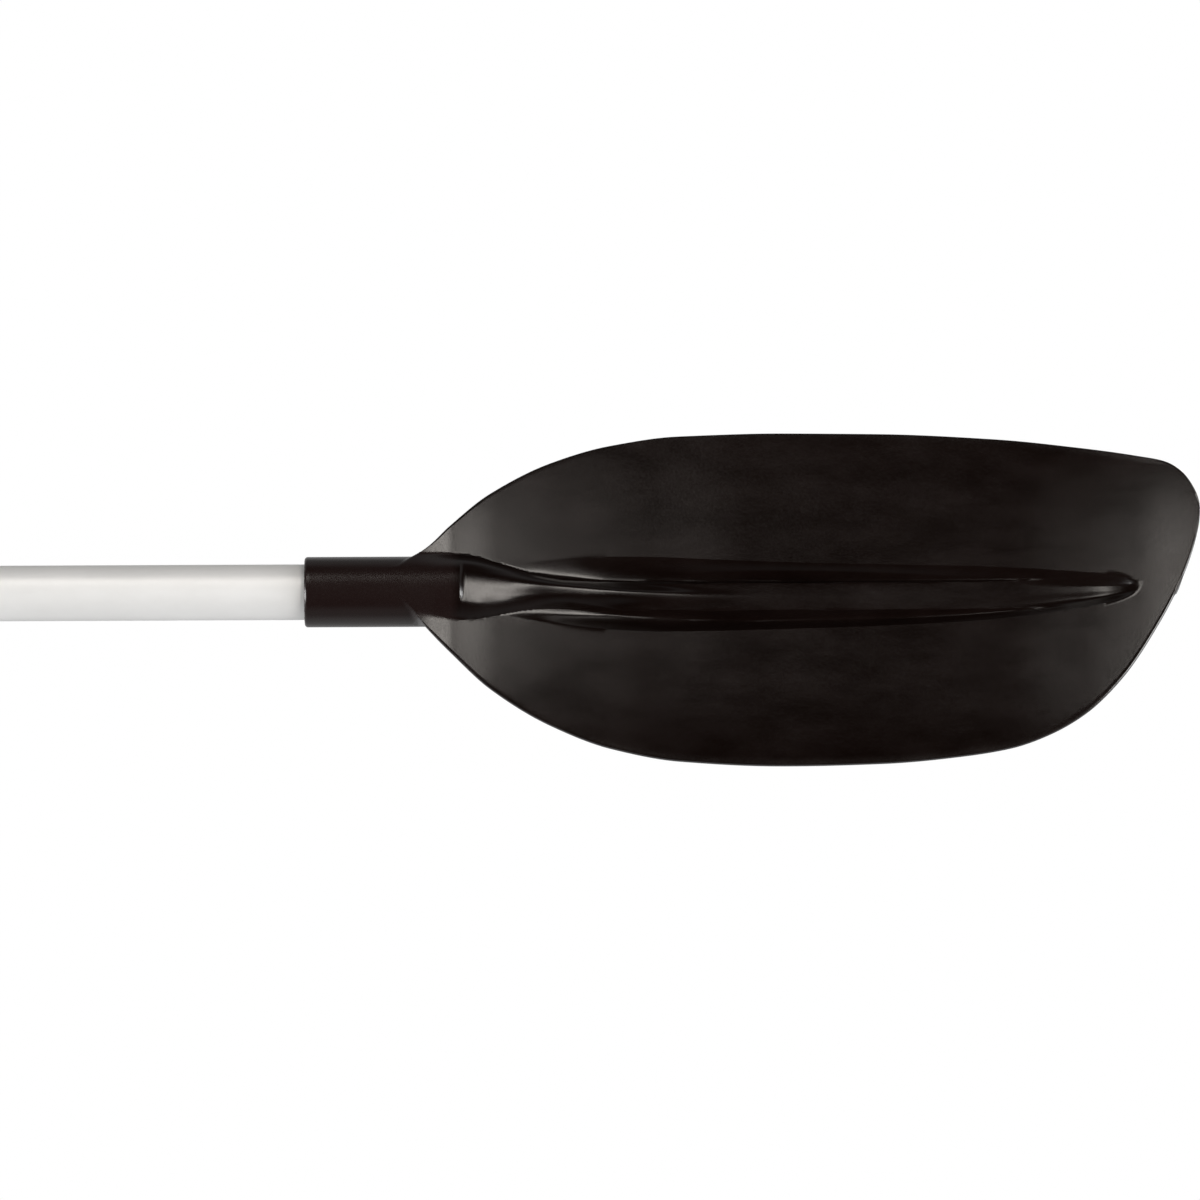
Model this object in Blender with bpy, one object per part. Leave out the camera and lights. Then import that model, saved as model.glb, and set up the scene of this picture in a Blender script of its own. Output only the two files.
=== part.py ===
"""Two-piece aluminium rowing oar with a moulded spoon blade.

Frame: metres. The shaft lies along X with the origin at the centre of the grip's flat end,
+X runs to the blade's tip, and +Z points out of the blade's hollow (power) face, so the oar
lies face up. The blade's outline and heights are in blade coordinates: u along the shaft from
the socket's mouth, v across the blade, in millimetres, turned into metres as they are used.
"""
import math

import bmesh
import bpy
from mathutils import Matrix, Vector

MM = 0.001
GAP = 0.3 * MM                      # clearance between neighbouring pieces

# Shaft
TUBE_R = 15.0 * MM
TUBE_WALL = 1.5 * MM
TUBE_BORE_R = TUBE_R - TUBE_WALL
OVERALL_LENGTH = 1500.0 * MM
BLADE_LENGTH = 484.0                # mm, socket's mouth to tip
SOCKET_X = OVERALL_LENGTH - BLADE_LENGTH * MM
SOCKET_DEPTH = 75.0                 # mm, how far the tube goes into the socket
JOINT_X = 620.0 * MM                # where the two halves of the shaft meet
ROUND_STEPS = 32

# Take-down joint
FERRULE_R = TUBE_BORE_R - GAP
FERRULE_WALL = 1.5 * MM
FERRULE_BORE_R = FERRULE_R - FERRULE_WALL
FERRULE_START_X = JOINT_X - 120.0 * MM
FERRULE_END_X = JOINT_X + 80.0 * MM
FERRULE_RIVET_X = JOINT_X + 40.0 * MM
BUTTON_X = JOINT_X - 45.0 * MM
BUTTON_R = 3.5 * MM
BUTTON_PROUD = 3.0 * MM             # height of the button above the tube

# Handle end
GRIP_LENGTH = 130.0 * MM
GRIP_END_WALL = 4.0 * MM
SLEEVE_START_X = 340.0 * MM
SLEEVE_LENGTH = 180.0 * MM
SLEEVE_R = 17.8 * MM
STOP_X = 372.0 * MM                 # inboard face of the stop collar
STOP_WIDTH = 18.0 * MM
STOP_R = 30.0 * MM
STOP_SPLIT = 1.0 * MM               # gap between the collar's two halves
STOP_SCREW_Y = 24.5 * MM

# Rivet that holds the blade on the shaft
BLADE_RIVET_X = SOCKET_X + 30.0 * MM
BLADE_RIVET_R = 2.4 * MM

# Blade, in millimetres
SOCKET_R = 19.0
SOCKET_BORE_R = 15.3
SOCKET_END = 84.0                   # where the round socket stops on the power face
NOSE_LENGTH = 56.0                  # run of the half cone that leads down from it to the ridge
NOSE_SINK = 9.0
LIP_DROP = 0.9                      # height of the small step at the nose's root
PLATE = 3.4                         # thickness of the blade at its rim
RIM_ROUND = 1.0
FILLET = 5.0
NOSE_FILLET = 7.0
ACROSS = 12                         # columns of faces on each side of the spine
APEX_V = 42.8                       # the tip's furthest point lies off the spine

UPPER_EDGE = [(50, 8), (57, 14.3), (67, 22.6), (78, 34.9), (100, 55), (132, 73.2), (165, 84),
              (202, 89.8), (256, 91.8), (310, 91.2), (375, 87.4), (418, 81.4), (450, 75.1),
              (466, 70.7), (475, 64.2), (481, 54.9)]
LOWER_EDGE = [(50, 8), (57, 14), (67, 25.6), (78, 36.8), (100, 57.4), (132, 77.8), (165, 91.2),
              (202, 98.4), (256, 101), (310, 99.8), (353, 95.8), (380, 91.2), (400, 84),
              (420, 72.2), (440, 52.4), (460, 22.6), (474, -4.5), (482, -28.2)]
CAMBER = [(0, 12.4), (57, 12.4), (80, 8), (104, 3.6), (137, -0.8), (185, -5), (240, -7.8),
          (280, -8.3), (330, -7.4), (380, -5), (420, -0.9), (450, 3.4), (484, 9.6)]
CROWN = [(60, 0), (140, 7), (280, 8.5), (420, 6.5), (484, 6)]
TROUGH_DEPTH = [(102, 0), (120, 0.9), (137, 2.8), (165, 6.4), (212, 9.8), (266, 10.8), (320, 9.8),
                (375, 7), (412, 4.8), (432, 3.6), (442, 2.2), (450, 0)]
RIDGE_HEIGHT = [(102, 0), (120, 3.5), (137, 7.2), (165, 9.2), (190, 8.8), (212, 7.2), (240, 5),
                (266, 3.4), (300, 1.6), (340, 0.8), (375, 0.5), (450, 0)]
TROUGH_HALF_WIDTH = [(102, 15), (130, 18), (150, 20.5), (189, 21.6), (212, 21), (266, 19.2),
                     (320, 17.6), (375, 15), (418, 10.6), (432, 8.6), (442, 6.2), (450, 2.5)]
VALLEY_V = [(102, 12.5), (137, 11), (165, 9.8), (212, 8), (266, 6.4), (375, 4.4), (418, 3),
            (442, 1.6), (450, 0.8)]
NOSE_TOP = [(84, 19), (104, 13.2), (120, 8.8), (137, 4.2), (150, 0.2), (170, -8)]
NOSE_HALF_WIDTH = [(84, 19), (92, 18.2), (104, 15.2), (120, 11.2), (140, 8)]
BACK_RIB_BOTTOM = [(84, -19), (110, -18.4), (165, -18.6), (212, -21.2), (266, -24), (320, -22.2),
                   (375, -16.8), (418, -10.6), (452, -4.5)]
BACK_RIB_ROOT = [(84, 0), (137, -2), (165, -4), (212, -7), (266, -9), (320, -8.5), (375, -6.5),
                 (418, -4), (452, -1)]
BACK_RIB_HALF_WIDTH = [(84, 19), (137, 21.5), (212, 21.6), (266, 20.4), (320, 18.6), (375, 15.6),
                       (418, 11.4), (452, 3)]


# ---------------------------------------------------------------- scene helpers

def clear_scene():
    for old in list(bpy.data.objects):
        bpy.data.objects.remove(old, do_unlink=True)


def make_material(name, colour, roughness, metallic=0.0):
    material = bpy.data.materials.new(name)
    material.use_nodes = True
    shader = material.node_tree.nodes["Principled BSDF"]
    shader.inputs["Base Color"].default_value = (*colour, 1.0)
    shader.inputs["Roughness"].default_value = roughness
    shader.inputs["Metallic"].default_value = metallic
    material.diffuse_color = (*colour, 1.0)
    return material


def finish_object(name, bm, material, origin=(0.0, 0.0, 0.0)):
    """Turn a bmesh in world coordinates into a smooth-shaded object whose origin is given."""
    bmesh.ops.recalc_face_normals(bm, faces=bm.faces)
    bmesh.ops.translate(bm, verts=bm.verts, vec=-Vector(origin))
    mesh = bpy.data.meshes.new(name)
    bm.to_mesh(mesh)
    bm.free()
    mesh.shade_smooth()
    mesh.set_sharp_from_angle(angle=math.radians(35))
    mesh.materials.append(material)
    piece = bpy.data.objects.new(name, mesh)
    piece.location = origin
    bpy.context.collection.objects.link(piece)
    return piece


def turned(name, profile, material, steps=ROUND_STEPS, along=Matrix.Identity(4), closed=True):
    """Spin a profile of (x, radius) points about X, then place it with a matrix."""
    bm = bmesh.new()
    corners = [bm.verts.new((x, 0.0, radius)) for x, radius in profile]
    edges = [bm.edges.new(pair) for pair in zip(corners, corners[1:])]
    if closed:
        edges.append(bm.edges.new((corners[-1], corners[0])))
    bmesh.ops.spin(bm, geom=corners + edges, cent=(0, 0, 0), axis=(1, 0, 0),
                   angle=math.tau, steps=steps, use_merge=True)
    bmesh.ops.remove_doubles(bm, verts=bm.verts, dist=1e-7)
    bmesh.ops.transform(bm, matrix=along, verts=bm.verts)
    return finish_object(name, bm, material)


def ring_profile(start, end, inner, outer, bevel=0.0):
    """The section of a tube from start to end, with its outer corners bevelled."""
    if bevel == 0.0:
        return [(start, inner), (start, outer), (end, outer), (end, inner)]
    return [(start, inner), (start, outer - bevel), (start + bevel, outer),
            (end - bevel, outer), (end, outer - bevel), (end, inner)]


def plug_profile(start, end, radius, bevel):
    """The half section of a solid round plug."""
    return [(start, 0.0), (start, radius - bevel), (start + bevel, radius),
            (end - bevel, radius), (end, radius - bevel), (end, 0.0)]


def pointing(direction, place):
    """A matrix that turns +X to a direction and moves the origin to a place."""
    turn = Vector((1.0, 0.0, 0.0)).rotation_difference(Vector(direction)).to_matrix().to_4x4()
    return Matrix.Translation(place) @ turn


def drill(pieces, name, place, direction, radius, length, steps=16):
    """Cut one round hole, centred on a place, through every piece given."""
    bm = bmesh.new()
    bmesh.ops.create_cone(bm, cap_ends=True, segments=steps, radius1=radius, radius2=radius,
                          depth=length)
    turn = Vector((0.0, 0.0, 1.0)).rotation_difference(Vector(direction)).to_matrix().to_4x4()
    bmesh.ops.transform(bm, matrix=Matrix.Translation(place) @ turn, verts=bm.verts)
    mesh = bpy.data.meshes.new(name)
    bm.to_mesh(mesh)
    bm.free()
    cutter = bpy.data.objects.new(name, mesh)
    cutter.hide_render = True
    cutter.display_type = "WIRE"
    bpy.context.collection.objects.link(cutter)
    for piece in pieces:
        cut = piece.modifiers.new(name, "BOOLEAN")
        cut.operation = "DIFFERENCE"
        cut.object = cutter


# ---------------------------------------------------------------- blade shape, in millimetres

def through(points, x):
    """A smooth curve through a few (x, y) points, flat beyond its ends."""
    if x <= points[0][0]:
        return points[0][1]
    if x >= points[-1][0]:
        return points[-1][1]
    slopes = [(b[1] - a[1]) / (b[0] - a[0]) for a, b in zip(points, points[1:])]
    tangents = [slopes[0]]
    for before, after in zip(slopes, slopes[1:]):
        rising = before * after > 0
        tangents.append(2.0 * before * after / (before + after) if rising else 0.0)
    tangents.append(slopes[-1])
    i = max(k for k, point in enumerate(points[:-1]) if point[0] <= x)
    (x0, y0), (x1, y1) = points[i], points[i + 1]
    span = x1 - x0
    t = (x - x0) / span
    return (y0 * (1 + 2 * t) * (1 - t) ** 2 + tangents[i] * span * t * (1 - t) ** 2
            + y1 * t * t * (3 - 2 * t) - tangents[i + 1] * span * t * t * (1 - t))


def ease(x, low, high):
    t = min(max((x - low) / (high - low), 0.0), 1.0)
    return t * t * (3.0 - 2.0 * t)


def soft_max(a, b, radius):
    """The larger of two heights, with a fillet where they meet."""
    overlap = max(radius - abs(a - b), 0.0) / radius
    return max(a, b) + overlap * overlap * radius / 4.0


def soft_min(a, b, radius):
    return -soft_max(-a, -b, radius)


def edge_offset(points, sign, u):
    """Distance of one edge of the blade from the spine. The tip's end is round, so the curve
    is drawn against the square root of the distance that is left to the tip."""
    def left(x):
        return -math.sqrt(max(BLADE_LENGTH - x, 0.0))
    curve = [(left(x), y) for x, y in points] + [(0.0, sign * APEX_V)]
    return through(curve, left(u))


def wing_edges(u):
    """The v of the wing's lower and upper edges."""
    return -edge_offset(LOWER_EDGE, -1, u), edge_offset(UPPER_EDGE, 1, u)


def dome(v, half_width, height):
    """Half an ellipse, which falls away steeply outside its own width."""
    if abs(v) < half_width:
        return height * math.sqrt(1.0 - (v / half_width) ** 2)
    return -3.0 * (abs(v) - half_width)


def trough(u, v):
    """The channel along the spine, with the raised ridge down its middle."""
    depth = through(TROUGH_DEPTH, u)
    half_width = through(TROUGH_HALF_WIDTH, u)
    valley = through(VALLEY_V, u)
    away = abs(v)
    if away >= half_width:
        return 0.0
    if away > valley:
        t = (half_width - away) / (half_width - valley)
        wall = 0.5 * t * t * (3 - 2 * t) + 0.5 * t * (2 - t)
        return -depth * wall
    ridge = through(RIDGE_HEIGHT, u) * (0.5 + 0.5 * math.cos(math.pi * away / valley))
    return ridge - depth


def plate_height(u, v):
    """The power face of the plate alone: its spoon curve and its raised edges."""
    return through(CAMBER, u) + through(CROWN, u) * (abs(v) / 95.0) ** 2.7


def socket_end(u, v):
    """Past the socket's end its round top narrows and runs down to the ridge, like half a cone."""
    foot = -NOSE_SINK * ease(u, SOCKET_END, SOCKET_END + NOSE_LENGTH)
    lip = LIP_DROP * ease(u, SOCKET_END, SOCKET_END + 1.4) * (1.0 - ease(abs(v), 6.0, 13.0))
    return foot + dome(v, through(NOSE_HALF_WIDTH, u), through(NOSE_TOP, u) - foot) - lip


def front_height(u, v):
    lower, upper = wing_edges(u)
    outside = max(lower - v, v - upper, 0.0)
    plate = plate_height(u, v) + trough(u, v) - 4.0 * outside
    return soft_max(plate, socket_end(u, v), NOSE_FILLET)


def back_height(u, v):
    lower, upper = wing_edges(u)
    outside = max(lower - v, v - upper, 0.0)
    plate = plate_height(u, v) - PLATE + 4.0 * outside
    if u <= SOCKET_END:
        return soft_min(plate, -dome(v, SOCKET_R, SOCKET_R), FILLET)
    root = through(BACK_RIB_ROOT, u)
    half_width = through(BACK_RIB_HALF_WIDTH, u)
    rib = root - dome(v, half_width, root - through(BACK_RIB_BOTTOM, u))
    return soft_min(plate, rib, FILLET)


def row_positions():
    """Where the blade is cut into rings: fine at the neck, wide along the wings, and closing
    in on the tip as its end rounds off."""
    neck_start, neck_end, tip_start = 50.0, 122.0, 440.0
    neck_rows, wing_rows, tip_rows = 20, 24, 14
    rows = [neck_start + (neck_end - neck_start) * k / neck_rows for k in range(neck_rows)]
    rows += [neck_end + (tip_start - neck_end) * k / wing_rows for k in range(wing_rows)]
    tip = BLADE_LENGTH - tip_start
    rows += [BLADE_LENGTH - tip * (1 - k / tip_rows) ** 2 for k in range(tip_rows)]
    return rows + [BLADE_LENGTH - 0.08]


def blade_columns(u):
    """The v of each column of points across a ring, and the two outermost edges."""
    lower, upper = wing_edges(u)
    low_edge, high_edge = min(lower, -SOCKET_R), max(upper, SOCKET_R)
    if u > SOCKET_END:
        low_edge, high_edge = lower, upper
    middle = APEX_V * ease(u, 430.0, BLADE_LENGTH)
    spread = ease(u, 56.0, 105.0)
    columns = []
    for k in range(-ACROSS, ACROSS + 1):
        share = abs(k) / (ACROSS + 1)
        edge = high_edge if k > 0 else low_edge
        reach = abs(edge - middle) - RIM_ROUND * spread
        inner = min(21.0, 0.5 * reach)
        if share < 0.5:
            on_wing = inner * share / 0.5
        else:
            top_share = ACROSS / (ACROSS + 1)
            on_wing = inner + (reach - inner) * (share - 0.5) / (top_share - 0.5)
        on_socket = SOCKET_R * math.sin(0.5 * math.pi * share)
        side = 1 if k > 0 else -1
        columns.append(middle + side * ((1 - spread) * on_socket + spread * on_wing))
    return columns, low_edge, high_edge


def blade_ring(u):
    """One closed ring of points: across the power face, round the rim, back across."""
    columns, low_edge, high_edge = blade_columns(u)
    front = [(v, front_height(u, v)) for v in columns]
    back = [(v, back_height(u, v)) for v in columns]
    high_rim = (high_edge, 0.5 * (front[-1][1] + back[-1][1]))
    low_rim = (low_edge, 0.5 * (front[0][1] + back[0][1]))
    return front + [high_rim] + back[::-1] + [low_rim]


def circle_ring(radius):
    """A round ring with its points at the same turns as a ring of the socket."""
    half = ACROSS + 1
    turns = [0.5 * math.pi * k / half for k in range(-ACROSS, half + 1)]
    front = [(radius * math.sin(turn), radius * math.cos(turn)) for turn in turns]
    back = [(-v, -z) for v, z in front]
    return front + back


def make_blade(material):
    """The moulded blade: a round socket with a blind bore that runs out into the spoon."""
    mouth_round = 1.6
    rings = [(SOCKET_DEPTH + 1.0, circle_ring(SOCKET_BORE_R)),
             (0.0, circle_ring(SOCKET_BORE_R)),
             (0.0, circle_ring(SOCKET_R - mouth_round)),
             (0.45 * mouth_round, circle_ring(SOCKET_R - 0.3 * mouth_round)),
             (mouth_round, circle_ring(SOCKET_R)),
             (25.0, circle_ring(SOCKET_R))]
    rings += [(u, blade_ring(u)) for u in row_positions()]
    bm = bmesh.new()
    loops = []
    for u, ring in rings:
        loops.append([bm.verts.new((SOCKET_X + u * MM, v * MM, z * MM)) for v, z in ring])
    count = len(loops[0])
    for here, there in zip(loops, loops[1:]):
        for i in range(count):
            j = (i + 1) % count
            bm.faces.new((here[i], here[j], there[j], there[i]))
    bm.faces.new(loops[0])
    bm.faces.new(loops[-1])
    bmesh.ops.triangulate(bm, faces=[face for face in bm.faces if len(face.verts) > 4])
    return finish_object("blade", bm, material)


# ---------------------------------------------------------------- other pieces

def blind_rivet(name, place, outward, radius, head_base, bulb_start, material):
    """A domed blind rivet. Distances are from the shaft's axis, along the outward direction."""
    head_r = radius * 1.9
    bulb_r = radius * 1.25
    profile = [(bulb_start - 2.2 * MM, 0.0), (bulb_start - 2.2 * MM, 0.7 * bulb_r),
               (bulb_start - 1.4 * MM, bulb_r), (bulb_start - 0.5 * MM, bulb_r),
               (bulb_start, radius), (head_base, radius), (head_base, head_r),
               (head_base + 0.5 * MM, head_r), (head_base + 1.2 * MM, 0.75 * head_r),
               (head_base + 1.6 * MM, 0.4 * head_r), (head_base + 1.7 * MM, 0.0)]
    return turned(name, profile, material, steps=16, along=pointing(outward, place), closed=False)


def make_snap_spring(material):
    """A leaf bent into a V: its lower leg lies in the ferrule, its upper leg lifts the button."""
    leaf, width = 0.5 * MM, 7.0 * MM
    bend_x = BUTTON_X - 38.0 * MM
    end_x = BUTTON_X + 5.0 * MM
    foot = -10.2 * MM
    top = 8.4 * MM
    bend_r = 2.0 * MM
    middle = [(end_x, foot), (bend_x + 9.0 * MM, foot)]
    for k in range(7):
        turn = math.radians(-100 - 160 * k / 6)
        middle.append((bend_x + bend_r * math.cos(turn), -7.5 * MM + bend_r * math.sin(turn)))
    middle += [(BUTTON_X - 7.0 * MM, top), (end_x, top)]
    outer, inner = [], []
    for i, point in enumerate(middle):
        before = Vector(middle[max(i - 1, 0)])
        after = Vector(middle[min(i + 1, len(middle) - 1)])
        along = (after - before).normalized()
        side = Vector((-along.y, along.x)) * leaf / 2
        outer.append(Vector(point) + side)
        inner.append(Vector(point) - side)
    bm = bmesh.new()
    rings = []
    for a, b in zip(outer, inner):
        rings.append([bm.verts.new((a.x, -width / 2, a.y)), bm.verts.new((a.x, width / 2, a.y)),
                      bm.verts.new((b.x, width / 2, b.y)), bm.verts.new((b.x, -width / 2, b.y))])
    for here, there in zip(rings, rings[1:]):
        for i in range(4):
            j = (i + 1) % 4
            bm.faces.new((here[i], here[j], there[j], there[i]))
    bm.faces.new(rings[0])
    bm.faces.new(rings[-1])
    return finish_object("snap_spring", bm, material)


def make_snap_button(material):
    """The round button, with the flange that keeps it inside the ferrule."""
    flange_r = 4.5 * MM
    flange_low, flange_high = 9.0 * MM, 10.2 * MM
    top = TUBE_R + BUTTON_PROUD
    profile = [(flange_low, 0.0), (flange_low, flange_r), (flange_high, flange_r),
               (flange_high, BUTTON_R), (top - 2.0 * MM, BUTTON_R)]
    for k in range(1, 5):
        turn = 0.5 * math.pi * k / 5
        profile.append((top - 2.0 * MM + 2.0 * MM * math.sin(turn), BUTTON_R * math.cos(turn)))
    profile.append((top, 0.0))
    return turned("snap_button", profile, material, steps=24,
                  along=pointing((0, 0, 1), (BUTTON_X, 0, 0)), closed=False)


def make_grip(material):
    """The closed-ended hand grip, with a palm swell and a lip at each end."""
    outer = [(0.0, 0.0), (0.0, 13.0), (0.6, 15.6), (2.2, 17.5), (5.0, 18.4), (9.0, 18.4),
             (13.0, 17.4), (20.0, 17.3), (40.0, 18.2), (62.0, 18.6), (84.0, 18.1),
             (104.0, 17.2), (114.0, 17.0), (118.0, 18.1), (124.0, 18.4), (128.0, 17.9),
             (130.0, 16.6), (130.0, 15.3)]
    profile = [(x * MM, radius * MM) for x, radius in outer]
    profile += [(GRIP_END_WALL, TUBE_R + GAP), (GRIP_END_WALL, 0.0)]
    return turned("grip", profile, material, closed=False)


def make_stop_half(name, side, material):
    """One half of the clamped stop collar, split level with the shaft. side is +1 for the top."""
    rim = 2.0 * MM
    bore = SLEEVE_R + GAP
    profile = [(0.0, bore), (0.0, STOP_R - rim), (rim, STOP_R), (STOP_WIDTH - rim, STOP_R),
               (STOP_WIDTH, STOP_R - rim), (STOP_WIDTH, bore)]
    lean = math.asin(0.5 * STOP_SPLIT / STOP_R)
    start, end = lean, math.pi - lean
    bm = bmesh.new()
    steps = 24
    rings = []
    for k in range(steps + 1):
        turn = start + (end - start) * k / steps
        ring = []
        for x, radius in profile:
            y, z = radius * math.cos(turn), max(radius * math.sin(turn), 0.5 * STOP_SPLIT)
            if k in (0, steps):
                z = 0.5 * STOP_SPLIT
            ring.append(bm.verts.new((STOP_X + x, side * y, side * z)))
        rings.append(ring)
    count = len(profile)
    for here, there in zip(rings, rings[1:]):
        for i in range(count):
            j = (i + 1) % count
            bm.faces.new((here[i], here[j], there[j], there[i]))
    bm.faces.new(rings[0])
    bm.faces.new(rings[-1])
    return finish_object(name, bm, material)


def make_stop_fasteners(steel):
    """A socket-head screw and a hexagon nut on each side of the stop collar."""
    shank_r, head_r, seat = 2.0 * MM, 3.5 * MM, 9.3 * MM
    nut_r, nut_height = 3.95 * MM, 3.2 * MM
    middle_x = STOP_X + STOP_WIDTH / 2
    screw = [(-13.5 * MM, 0.0), (-13.5 * MM, 1.6 * MM), (-13.0 * MM, shank_r), (seat, shank_r),
             (seat, head_r), (seat + 3.4 * MM, head_r), (seat + 3.9 * MM, head_r - 0.5 * MM),
             (seat + 3.9 * MM, 1.7 * MM), (seat + 1.9 * MM, 1.6 * MM), (seat + 1.9 * MM, 0.0)]
    nut = [(-seat - nut_height, shank_r + GAP), (-seat - nut_height, nut_r), (-seat, nut_r),
           (-seat, shank_r + GAP)]
    for word, side in (("left", 1), ("right", -1)):
        up = pointing((0, 0, 1), (middle_x, side * STOP_SCREW_Y, 0))
        turned("collar_screw_" + word, screw, steel, steps=18, along=up, closed=False)
        turned("collar_nut_" + word, nut, steel, steps=6, along=up)


def main():
    clear_scene()
    alloy = make_material("anodised_tube", (0.72, 0.72, 0.73), 0.38, 1.0)
    spigot = make_material("plain_alloy", (0.62, 0.63, 0.65), 0.42, 1.0)
    plastic = make_material("black_moulded_plastic", (0.017, 0.013, 0.012), 0.42)
    rubber = make_material("grip_rubber", (0.02, 0.02, 0.021), 0.75)
    sleeve_plastic = make_material("sleeve_plastic", (0.03, 0.03, 0.033), 0.5)
    foam = make_material("closed_cell_foam", (0.80, 0.78, 0.70), 0.9)
    steel = make_material("stainless_steel", (0.60, 0.60, 0.61), 0.3, 1.0)
    spring_steel = make_material("spring_steel", (0.40, 0.41, 0.43), 0.35, 1.0)

    # Blade half
    blade = make_blade(plastic)
    lower_shaft = turned("lower_shaft", ring_profile(JOINT_X + GAP, SOCKET_X + SOCKET_DEPTH * MM,
                                                     TUBE_BORE_R, TUBE_R), alloy)
    ferrule = turned("ferrule", ring_profile(FERRULE_START_X, FERRULE_END_X, FERRULE_BORE_R,
                                             FERRULE_R, 0.6 * MM), spigot)
    blind_rivet("blade_rivet", (BLADE_RIVET_X, 0, 0), (0, 0, -1), BLADE_RIVET_R,
                SOCKET_R * MM + GAP, TUBE_BORE_R - 0.8 * MM, steel)
    drill([blade, lower_shaft], "blade_rivet_hole", (BLADE_RIVET_X, 0, -17.0 * MM), (0, 0, 1),
          BLADE_RIVET_R + GAP, 14.0 * MM)
    turned("lower_end_plug", plug_profile(SOCKET_X + 44.0 * MM, SOCKET_X + 72.0 * MM,
                                          TUBE_BORE_R - GAP, 1.0 * MM), foam, closed=False)
    turned("ferrule_plug", plug_profile(FERRULE_END_X - 26.0 * MM, FERRULE_END_X - 2.0 * MM,
                                        FERRULE_BORE_R - GAP, 1.0 * MM), foam, closed=False)
    rivet_r = 1.6 * MM
    for word, side in (("left", 1), ("right", -1)):
        blind_rivet("ferrule_rivet_" + word, (FERRULE_RIVET_X, 0, 0), (0, side, 0), rivet_r,
                    TUBE_R + GAP, FERRULE_BORE_R - 0.5 * MM, steel)
    drill([lower_shaft, ferrule], "ferrule_rivet_holes", (FERRULE_RIVET_X, 0, 0), (0, 1, 0),
          rivet_r + GAP, 40.0 * MM)
    make_snap_spring(spring_steel)
    make_snap_button(steel)

    # Handle half
    upper_shaft = turned("upper_shaft", ring_profile(GRIP_END_WALL + GAP, JOINT_X,
                                                     TUBE_BORE_R, TUBE_R), alloy)
    drill([upper_shaft, ferrule], "button_hole", (BUTTON_X, 0, 12.0 * MM), (0, 0, 1),
          BUTTON_R + GAP, 12.0 * MM)
    turned("joint_ring", ring_profile(JOINT_X - 20.0 * MM, JOINT_X, TUBE_R + GAP, 17.2 * MM,
                                      0.8 * MM), plastic)
    turned("upper_plug", plug_profile(FERRULE_START_X - 40.0 * MM, FERRULE_START_X - 8.0 * MM,
                                      TUBE_BORE_R - GAP, 1.0 * MM), foam, closed=False)
    turned("oar_sleeve", ring_profile(SLEEVE_START_X, SLEEVE_START_X + SLEEVE_LENGTH,
                                      TUBE_R + GAP, SLEEVE_R, 1.2 * MM), sleeve_plastic)
    make_grip(rubber)
    turned("grip_plug", plug_profile(GRIP_END_WALL + GAP, 24.0 * MM, TUBE_BORE_R - GAP,
                                     1.0 * MM), foam, closed=False)

    # Stop collar
    top_half = make_stop_half("stop_collar_top", 1, plastic)
    bottom_half = make_stop_half("stop_collar_bottom", -1, plastic)
    make_stop_fasteners(steel)
    middle_x = STOP_X + STOP_WIDTH / 2
    for word, side in (("left", 1), ("right", -1)):
        y = side * STOP_SCREW_Y
        drill([top_half, bottom_half], "screw_hole_" + word, (middle_x, y, 0), (0, 0, 1),
              2.3 * MM, 40.0 * MM)
        drill([top_half], "head_pocket_" + word, (middle_x, y, 19.0 * MM), (0, 0, 1),
              4.3 * MM, 20.0 * MM)
        drill([bottom_half], "nut_pocket_" + word, (middle_x, y, -19.0 * MM), (0, 0, 1),
              4.4 * MM, 20.0 * MM)


main()
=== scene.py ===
"""The looks of a take-down rowing oar: fine meshes, materials, camera and studio.

The oar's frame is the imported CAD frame: metres, +X from the grip's end to the blade's tip, +Z out
of the blade's power face. The blade is drawn again from the same curves as the CAD blade, on a
much finer grid; its outline and heights are in blade coordinates, u from the socket's mouth and
v across the blade, in millimetres.
"""
import math

import bmesh
import bpy
import numpy as np
from mathutils import Matrix, Vector


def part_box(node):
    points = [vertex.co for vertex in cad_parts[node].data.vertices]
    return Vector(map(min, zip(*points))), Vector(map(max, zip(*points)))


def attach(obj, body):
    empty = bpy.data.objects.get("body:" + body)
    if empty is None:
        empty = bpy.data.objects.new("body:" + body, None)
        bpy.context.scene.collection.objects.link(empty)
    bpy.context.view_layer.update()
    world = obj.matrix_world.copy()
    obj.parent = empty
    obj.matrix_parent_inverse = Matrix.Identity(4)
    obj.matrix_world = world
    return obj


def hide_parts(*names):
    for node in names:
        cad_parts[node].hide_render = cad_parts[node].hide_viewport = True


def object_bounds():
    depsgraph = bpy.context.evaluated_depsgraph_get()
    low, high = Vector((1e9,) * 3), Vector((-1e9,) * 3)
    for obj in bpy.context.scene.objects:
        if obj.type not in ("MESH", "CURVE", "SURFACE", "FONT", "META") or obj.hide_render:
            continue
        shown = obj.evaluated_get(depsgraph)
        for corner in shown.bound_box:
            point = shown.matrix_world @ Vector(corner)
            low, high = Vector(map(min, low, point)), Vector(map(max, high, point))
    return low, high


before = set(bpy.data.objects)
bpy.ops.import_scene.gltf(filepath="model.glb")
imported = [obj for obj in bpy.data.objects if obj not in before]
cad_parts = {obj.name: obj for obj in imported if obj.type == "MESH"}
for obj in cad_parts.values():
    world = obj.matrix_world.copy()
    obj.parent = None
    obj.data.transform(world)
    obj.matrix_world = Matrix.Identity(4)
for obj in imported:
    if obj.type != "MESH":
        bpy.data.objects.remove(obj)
CAD_LOW, CAD_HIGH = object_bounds()

MM = 0.001
GAP = 0.3 * MM
TUBE_R = 15.0 * MM
TUBE_BORE_R = 13.5 * MM
SOCKET_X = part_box("blade")[0][0]
ROUND = 96                          # faces round a turned piece

# ---------------------------------------------------------------- the blade's curves, in mm

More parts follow.
